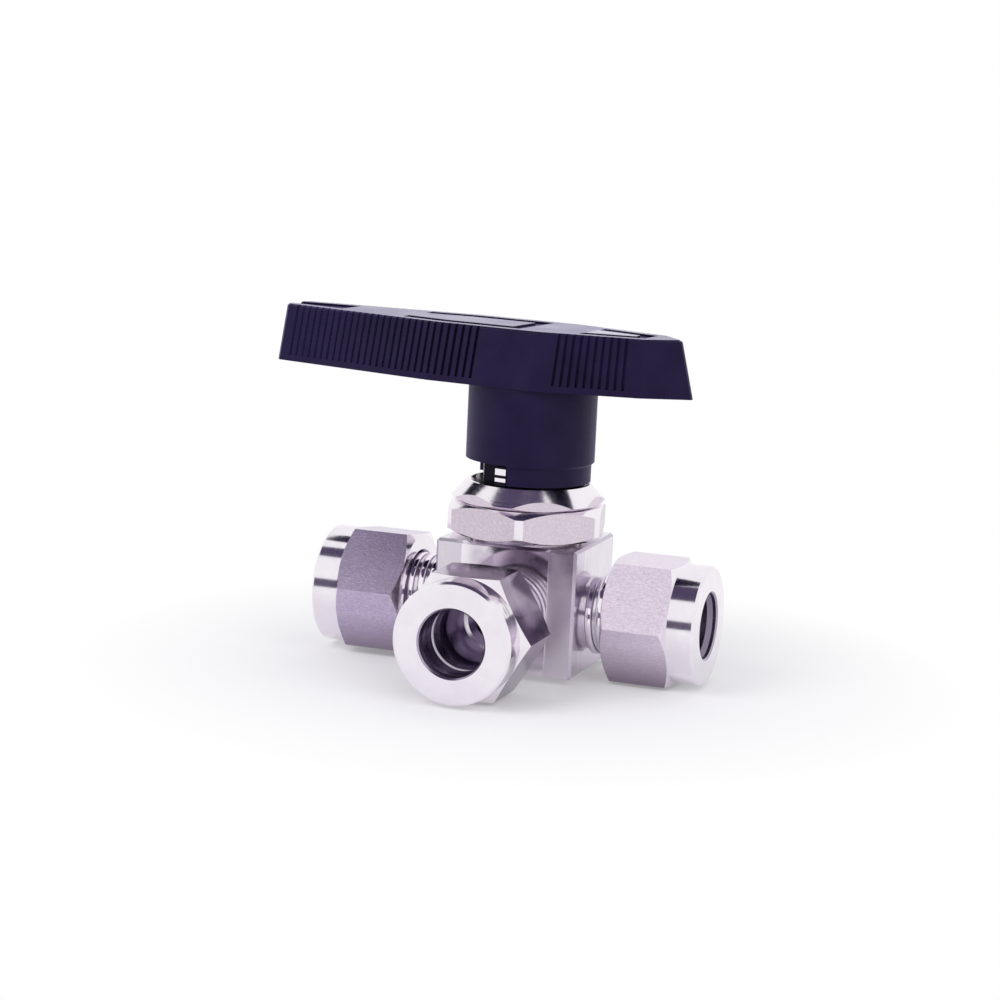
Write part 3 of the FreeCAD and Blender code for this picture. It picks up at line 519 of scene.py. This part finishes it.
def nut_steel(port):
    """drawn hexagon bar with a turned face, collar and bevels"""
    g = Finish(port + "_nut_steel")
    axis = PORT_AXES[port]
    look = NUT_LOOKS[port]
    low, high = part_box(port + "_nut")
    face = max(abs(low.dot(axis)), abs(high.dot(axis)))
    place = g.place()
    along = g.dot(place, axis)
    tilt = g.size(g.facing(axis))
    side = g.below(tilt, SIDE_FACING)
    on_hexagon = g.below(g.size(along), face - COLLAR_LENGTH)
    flat = g.both(side, on_hexagon)
    rings = g.rings(place, axis, NUT_RINGS)
    lines = g.streaks(place, axis, NUT_LINES, GRAIN_NOISE)
    flecks = g.streaks(place, axis, NUT_FLECKS, FLECK_NOISE)
    drawn = g.math("MULTIPLY_ADD", flecks, FLECK_SHARE, g.times(lines, 1 - FLECK_SHARE))
    smudges = g.speckle(place, NUT_SMUDGES, SMUDGE_NOISE)

    # Painted dark reflections: clouds of dark colour on the flats
    reflection_clouds = g.span(g.speckle(place, NUT_CLOUDS, SMUDGE_NOISE), CLOUD_EDGE, 0.0, look["reflection_clouds"])
    # Painted shade at the feet of the flats, growing towards the bottom
    foot_shade = g.span(g.dot(place, UP), FOOT_HEIGHTS, 0.0, FOOT_SHARE)
    # Flat colour: grain between the nut's pale and dull tones, which differ from nut to nut as painted light
    # and shade
    flat_colour = g.mix(g.span(drawn, GRAIN_EDGE), look["pale"], look["dull"])
    flat_colour = g.mix(foot_shade, g.mix(reflection_clouds, flat_colour, PAINTED_DARK_REFLECTION), PAINTED_FOOT_SHADE)

    # Painted dark reflections: streaks in patches on the collar, on the front nut only
    streaks = g.span(g.streaks(place, axis, NUT_STREAKS, STREAK_NOISE), STREAK_EDGE)
    collar = g.both(side, g.beside(on_hexagon))
    patches = g.times(g.span(smudges, PATCH_EDGE), g.times(collar, look["streaks"]))
    turned_colour = g.mix(g.grade(smudges, *COLLAR_DULLING), STEEL_BRIGHT, STEEL_DULL)
    turned_colour = g.mix(g.times(streaks, patches), turned_colour, PAINTED_STREAK_REFLECTION)

    # Painted shade in the bore, darker still in a ring near the mouth
    bored = g.in_bore(place, axis)
    near, far = (face - reach for reach in MOUTH_RING)
    ring = g.both(bored, g.within(along, far, near))
    colour = g.mix(bored, g.mix(flat, turned_colour, flat_colour), g.mix(ring, PAINTED_BORE_SHADE, PAINTED_MOUTH_SHADE))
    rough = g.blend(flat, g.grade(rings, *COLLAR_ROUGHNESS), g.grade(drawn, *look["roughness"]))
    rough = g.blend(bored, rough, BORE_ROUGHNESS)
    ring_depth = g.blend(g.within(tilt, *BEVEL_FACING), *RING_DEPTHS)
    height = g.blend(flat, g.times(rings, ring_depth), g.times(drawn, look["grain"]))
    height = g.blend(ring, height, g.span(along, (far, near), climb(far, near, MOUTH_SLOPE, NUT_BUMP), 0.0))
    return g.metal(colour, rough, g.bump(height, *NUT_BUMP))


def body_steel():
    """milled block, brushed upright beside its polished front land, with turned ends"""
    g = Finish("body_steel")
    place = g.place()
    x, y, z = g.add("SeparateXYZ", place).outputs
    lines = g.streaks(place, UP, BODY_LINES, GRAIN_NOISE)
    smudges = g.speckle(place, BODY_SMUDGES, SMUDGE_NOISE)
    across = g.size(x)
    middle = g.below(across, LAND_HALF_LENGTH)
    front = g.below(y, LAND_PLANE)
    land = g.both(middle, front)
    strip = g.both(g.beside(middle), front)

    # Grain of the block, with less dull steel on the front strips than on the sides as painted light
    dulling_and_light = g.grade(lines, LINE_DULLING_LEAST, g.blend(strip, SIDE_DULLING, STRIP_DULLING_AND_LIGHT))
    dulling_and_light = g.times(dulling_and_light, g.blend(land, 1.0, LAND_DULLING))
    colour = g.mix(dulling_and_light, STEEL_BRIGHT, STEEL_DULL)
    edge = g.within(across, CHAMFER_START, CHAMFER_END)
    chamfer = g.both(edge, g.within(g.size(g.facing(SIDEWAYS)), *CHAMFER_FACING))
    colour = g.mix(chamfer, colour, STEEL_DULL)
    # Painted dark reflections on the front face: higher up, away from the left end, in blotches of the
    # smudge noise
    painted_reflection = g.times(g.span(z, LAND_SHADE_HEIGHTS, 0.0, LAND_SHADE_SHARE), front)
    painted_reflection = g.times(painted_reflection, g.span(x, LAND_SHADE_PLACES))
    painted_reflection = g.times(painted_reflection, g.span(smudges, CLOUD_EDGE, LAND_SHADE_LEAST))
    colour = g.mix(painted_reflection, colour, PAINTED_LAND_REFLECTION)
    brushed = g.blend(strip, g.grade(lines, *SIDE_ROUGHNESS), g.grade(lines, *STRIP_ROUGHNESS))
    rough = g.blend(land, brushed, g.grade(smudges, *LAND_ROUGHNESS))
    rough = g.blend(chamfer, rough, CHAMFER_ROUGHNESS)

    rises = 0.0
    for axis in PORT_AXES.values():
        along = g.dot(place, axis)
        out = g.length(g.from_axis(place, axis))
        wall = g.both(g.in_bore(place, axis), g.below(out, THREAD_ROOT))
        wall = g.both(g.above(along, BLOCK_HALF_WIDTH), wall)
        shoulder = g.within(along, BLOCK_HALF_WIDTH, SHOULDER + SHOULDER_PLAY)
        shoulder = g.both(shoulder, g.above(g.facing(axis), END_FACING))
        shoulder = g.both(shoulder, g.below(out, SOCKET_RADIUS))
        ring = g.within(out, *SHOULDER_RING)
        # Painted shade on the socket walls and on the shoulders, apart from their bright rings
        colour = g.mix(wall, colour, PAINTED_SOCKET_SHADE)
        colour = g.mix(shoulder, colour, g.mix(ring, PAINTED_BORE_SHADE, STEEL_BRIGHT))
        rough = g.blend(wall, rough, BORE_ROUGHNESS)
        rise = g.span(out, SHOULDER_RING, 0.0, climb(*SHOULDER_RING, SHOULDER_SLOPE, BODY_BUMP))
        rises = g.plus(rises, g.times(shoulder, rise))
    height = g.plus(g.times(lines, g.blend(land, *LINE_DEPTHS)), rises)
    return g.metal(colour, rough, g.bump(height, *BODY_BUMP))


def thread_steel(port):
    """polished ridges over roots darkened with painted shade"""
    g = Finish(port + "_thread_steel")
    root = g.below(g.length(g.from_axis(g.place(), PORT_AXES[port])), THREAD_DARK_BELOW)
    return g.metal(g.mix(root, STEEL_BRIGHT, PAINTED_BORE_SHADE), g.blend(root, *THREAD_ROUGHNESS), None)


def ferrule_steel(port):
    """turned rings with a bright seam where the two bores meet, and painted shade in the bores"""
    g = Finish(port + "_ferrule_steel")
    axis = PORT_AXES[port]
    place = g.place()
    along = g.dot(place, axis)
    rings = g.rings(place, axis, TURNED_RINGS)
    seam = min(corner.dot(axis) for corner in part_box(port + "_back_ferrule"))
    start, end = (seam + reach for reach in FERRULE_RING)
    ring = g.within(along, start, end)
    bored = g.both(g.in_bore(place, axis), g.beside(ring))
    colour = g.mix(bored, g.mix(ring, STEEL_BRIGHT, STEEL_DULL), PAINTED_SOCKET_SHADE)
    ramp = g.span(along, (start, end), climb(start, end, FERRULE_SLOPE, FERRULE_BUMP), 0.0)
    height = g.blend(ring, g.times(rings, FERRULE_RING_DEPTH), ramp)
    return g.metal(colour, g.blend(bored, FERRULE_ROUGHNESS, BORE_ROUGHNESS), g.bump(height, *FERRULE_BUMP))


def panel_steel():
    """satin flats on the panel nuts, with brighter turned corners, bevels and cone"""
    g = Finish("panel_nut_steel")
    place = g.place()
    side = g.below(g.size(g.facing(UP)), SIDE_FACING)
    corner = g.above(g.length(g.from_axis(place, UP)), PANEL_CORNER)
    flat = g.both(side, g.beside(corner))
    rings = g.rings(place, UP, PANEL_RINGS)
    grain = g.speckle(place, PANEL_GRAIN, SPARK_NOISE)
    satin = g.mix(g.span(grain, SATIN_EDGE), SATIN_PALE, SATIN_DULL)
    rough = g.blend(flat, g.grade(rings, *BEVEL_ROUGHNESS), g.grade(grain, *SATIN_ROUGHNESS))
    return g.metal(g.mix(flat, STEEL_BRIGHT, satin), rough, g.bump(g.blend(flat, rings, grain), *PANEL_BUMP))


def turned(name, axis, bright, dull, roughness):
    """plain turned metal with smudges, and painted shade in its bores"""
    g = Finish(name)
    place = g.place()
    rings = g.rings(place, axis, TURNED_RINGS)
    smudges = g.speckle(place, TURNED_SMUDGES, SMUDGE_NOISE)
    bored = g.in_bore(place, axis)
    colour = g.mix(bored, g.mix(g.grade(smudges, *TURNED_DULLING), bright, dull), PAINTED_BORE_SHADE)
    rough = g.blend(bored, g.grade(rings, *roughness), BORE_ROUGHNESS)
    return g.metal(colour, rough, g.bump(rings, *TURNED_BUMP))


def stop_steel():
    """stop plate in dark oxide colour as painted shade, with two bars of painted highlight on its tab"""
    g = Finish("stop_steel")
    height = g.dot(g.place(), UP)
    painted_highlights = 0.0
    for low, high in STOP_BARS:
        painted_highlights = g.either(painted_highlights, g.within(height, low, high))
    rough = g.blend(painted_highlights, STOP_ROUGHNESS, STOP_BAR_ROUGHNESS)
    return g.metal(g.mix(painted_highlights, DARK_OXIDE_AND_SHADE, STEEL_BRIGHT), rough, None)


def grooves(g, along, across, height):
    """1 on the floors and walls of the grooves between the grip's ribs"""
    left = g.either(g.minus(g.times(along, -1.0), GRIP_FLAT_LEFT), 0.0)
    right = g.either(g.minus(along, GRIP_FLAT_RIGHT), 0.0)
    taper = g.plus(g.times(left, GRIP_LEFT_SLOPE), g.times(right, GRIP_RIGHT_SLOPE))
    lean = g.times(g.span(height, (GRIP_START, GRIP_START + GRIP_RISE)), GRIP_DRAFT)
    depth = g.minus(g.minus(GRIP_HALF_WIDTH, g.plus(taper, lean)), across)
    in_height = g.within(height, GRIP_START + GRIP_RIM, GRIP_START + GRIP_RISE + GRIP_TOP_PLAY)
    in_length = g.within(along, RIBS_START, RIBS_END)
    return g.both(g.both(in_height, in_length), g.within(depth, *RIB_DEPTHS))


def nylon():
    """spark-eroded near-black nylon, with a smoother crown and polished islands on it"""
    g = Finish("handle_nylon")
    place = g.place()
    grain = g.speckle(place, NYLON_GRAIN, SPARK_NOISE)
    smudges = g.speckle(place, NYLON_SMUDGES, SMUDGE_NOISE)
    along = g.dot(place, HANDLE_ALONG)
    across = g.size(g.dot(place, HANDLE_ACROSS))
    height = g.dot(place, UP)
    crown_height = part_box("handle")[1].z
    crown = g.both(g.above(g.facing(UP), END_FACING), g.above(height, crown_height - CROWN_PLAY))
    islands = 0.0
    for start, end, half, shine in ISLANDS:
        island = g.both(g.within(along, start, end), g.below(across, half))
        islands = g.plus(islands, g.times(island, shine))
    polished = g.times(islands, crown)
    rough = g.blend(crown, g.grade(grain, *NYLON_ROUGHNESS), g.grade(grain, *CROWN_ROUGHNESS))
    rough = g.blend(polished, rough, ISLAND_ROUGHNESS)
    colour = g.mix(g.span(smudges, NOISE_RANGE), *NYLON_COLOURS)
    # Groove tones: paler than the nylon towards the long arm's end as painted light, darker near the hub as
    # painted shade
    painted_groove_tone = g.mix(g.span(along, GROOVE_PLACES), *GROOVE_PAINTED_LIGHT_AND_SHADE)
    colour = g.mix(grooves(g, along, across, height), colour, painted_groove_tone)
    # Crown paler than the sides as painted light
    colour = g.mix(crown, colour, PAINTED_CROWN_LIGHT)
    coat = g.either(g.times(crown, g.grade(smudges, *CROWN_GLOSS)), polished)
    g.set(Base_Color=colour, Roughness=rough, Normal=g.bump(grain, *NYLON_BUMP))
    g.set(Coat_Weight=coat, Coat_Roughness=COAT_ROUGHNESS, Coat_Tint=COAT_TINT)
    g.set(Specular_IOR_Level=NYLON_SPECULAR, Specular_Tint=g.mix(crown, SIDE_TINT, CROWN_TINT))
    g.set(Sheen_Weight=SHEEN, Sheen_Roughness=SHEEN_ROUGHNESS, Sheen_Tint=SHEEN_TINT)
    return g.material


def seat_plastic():
    """white fluoropolymer of the seats and of the stem's seal"""
    g = Finish("seat_plastic")
    smudges = g.speckle(g.place(), SEAT_SMUDGES, SMUDGE_NOISE)
    rough = g.span(smudges, (0.0, 1.0), *SEAT_ROUGHNESS)
    g.set(Base_Color=g.mix(smudges, SEAT_DULL, SEAT_PALE), Roughness=rough)
    return g.material


def dress(material, *nodes):
    """puts a material in every slot of some CAD nodes"""
    for name in nodes:
        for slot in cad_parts[name].material_slots:
            slot.material = material


def add_mesh(name, verts, faces, material):
    """new piece with one material"""
    mesh = bpy.data.meshes.new(name)
    mesh.from_pydata(verts, [], faces)
    mesh.materials.append(material)
    piece = bpy.data.objects.new(name, mesh)
    bpy.context.scene.collection.objects.link(piece)
    return piece


def make_thread(port):
    """screw thread on a male end: one helical ridge with a wide crest and rounded shoulders"""
    axis = PORT_AXES[port]
    other = axis.cross(UP)
    start = (BLOCK_HALF_WIDTH if port == "front" else BLOCK_HALF_LENGTH) + THREAD_RELIEF
    turns = (THREAD_END - start - THREAD_PITCH) / THREAD_PITCH
    count = int(turns * THREAD_STEPS)
    verts = []
    for step in range(count + 1):
        angle = 2 * math.pi * step / THREAD_STEPS
        outward = math.cos(angle) * UP + math.sin(angle) * other
        taper = min(1.0, step / THREAD_RUN_IN, (count - step) / THREAD_RUN_IN)
        for share, radius in THREAD_SECTION:
            height = THREAD_BURIED + (radius - THREAD_BURIED) * taper
            along = start + THREAD_PITCH * (step / THREAD_STEPS + share)
            verts.append(axis * along + outward * height)
    width = len(THREAD_SECTION)
    faces = []
    for step in range(count):
        for corner in range(width):
            here = step * width + corner
            beside = step * width + (corner + 1) % width
            faces.append((here, beside, beside + width, here + width))
    faces.append(tuple(range(width)))
    faces.append(tuple(reversed(range(count * width, (count + 1) * width))))
    thread = add_mesh(port + "_thread", verts, faces, thread_steel(port))
    thread.data.shade_smooth()
    thread.data.update()
    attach(thread, "valve_body")


def dress_valve():
    """puts each finish on its nodes, and the threads on the male ends"""
    for port, axis in PORT_AXES.items():
        dress(nut_steel(port), port + "_nut")
        dress(ferrule_steel(port), port + "_front_ferrule", port + "_back_ferrule")
        seat = turned(port + "_seat_steel", axis, STEEL_BRIGHT, STEEL_DULL, SEAT_RING_ROUGHNESS)
        dress(seat, port + "_side_ring", port + "_side_disc")
        make_thread(port)
    dress(body_steel(), "body")
    dress(panel_steel(), "panel_nut", "lock_nut")
    polished = turned("polished_steel", UP, STEEL_BRIGHT, STEEL_DULL, POLISHED_ROUGHNESS)
    dress(polished, "ball_stem", "stem_gland", "stem_bushing")
    dress(stop_steel(), "stop_plate")
    # Packing bolt darkened in oxide colours as painted shade
    dress(turned("painted_shade_bolt_steel", UP, DARK_OXIDE_AND_SHADE, DARKER_OXIDE_AND_SHADE, BOLT_ROUGHNESS), "packing_bolt")
    dress(turned("insert_brass", UP, BRASS, BRASS_DULL, BRASS_ROUGHNESS), "handle_insert")
    dress(turned("screw_steel", BACKWARD, DARK_OXIDE_AND_SHADE, DARKER_OXIDE_AND_SHADE, SCREW_ROUGHNESS), "handle_screw")
    dress(seat_plastic(), "lower_packing", "upper_packing", "stem_seal")
    dress(nylon(), "handle")


def seen_directly(g):
    """1 for what the camera sees, also in metal and through glass"""
    rays = g.add("LightPath").outputs
    return g.either(g.either(rays["Is Camera Ray"], rays["Is Glossy Ray"]), rays["Is Transmission Ray"])


def make_world():
    """soft room light in front of a white backdrop"""
    world = bpy.data.worlds.new("studio")
    bpy.context.scene.world = world
    world.use_nodes = True
    world.node_tree.nodes.clear()
    g = Graph(world.node_tree)
    room = g.add("Background", ROOM_COLOUR, ROOM_STRENGTH)
    white = g.add("Background", WHITE, 1.0)
    mix = g.add("MixShader", seen_directly(g), room.outputs[0], white.outputs[0])
    g.add("OutputWorld", mix.outputs[0])


def make_floor(height):
    """pale floor that keeps the valve's shadow and fades to white"""
    g = Finish("floor")
    g.set(Base_Color=FLOOR_COLOUR, Roughness=FLOOR_ROUGHNESS, Specular_IOR_Level=FLOOR_SPECULAR)
    fade = g.span(g.length(g.place()), (FLOOR_NEAR, FLOOR_FAR), FLOOR_WHITE_NEAR)
    white = g.add("Emission", WHITE, 1.0)
    mix = g.add("MixShader", g.times(seen_directly(g), fade), g.shader.outputs[0], white.outputs[0])
    corners = ((-1, -1), (1, -1), (1, 1), (-1, 1))
    verts = [(x * FLOOR_REACH, y * FLOOR_REACH, height) for x, y in corners]
    floor = add_mesh("floor", verts, [(0, 1, 2, 3)], g.end_in(mix))


def between(limits, share):
    """number that lies a share of the way from one limit to the other"""
    return limits[0] + (limits[1] - limits[0]) * share


def make_card(name, azimuths, elevations, colour):
    """curved dark card that only reflections see"""
    verts = []
    for row in range(CARD_ROWS + 1):
        elevation = math.radians(between(elevations, row / CARD_ROWS))
        for column in range(CARD_COLUMNS + 1):
            azimuth = math.radians(between(azimuths, column / CARD_COLUMNS))
            verts.append(CARD_DISTANCE * direction(azimuth, elevation))
    faces = []
    for row in range(CARD_ROWS):
        for column in range(CARD_COLUMNS):
            corner = row * (CARD_COLUMNS + 1) + column
            above = corner + CARD_COLUMNS + 1
            faces.append((corner, corner + 1, above + 1, above))
    g = Finish(name)
    card = add_mesh(name, verts, faces, g.end_in(g.add("Emission", colour, 1.0)))
    card.visible_camera = False
    card.visible_diffuse = False
    card.visible_shadow = False


def make_lamp(name, azimuth, elevation, size, power):
    """square lamp that shines at the origin and shows in no reflection"""
    light = bpy.data.lights.new(name, "AREA")
    light.shape = "SQUARE"
    light.size = size
    light.energy = power
    lamp = bpy.data.objects.new(name, light)
    bpy.context.scene.collection.objects.link(lamp)
    back = direction(math.radians(azimuth), math.radians(elevation))
    lamp.location = back * LAMP_DISTANCE
    lamp.rotation_mode = "QUATERNION"
    lamp.rotation_quaternion = back.to_track_quat("Z", "Y")
    lamp.visible_glossy = False


make_camera()
dress_valve()
make_world()
make_floor(cad_box[0].z)
for card_name, card in CARDS.items():
    make_card(card_name, *card)
for lamp_name, lamp in LAMPS.items():
    make_lamp(lamp_name, *lamp)
bpy.context.scene.view_settings.view_transform = "Standard"
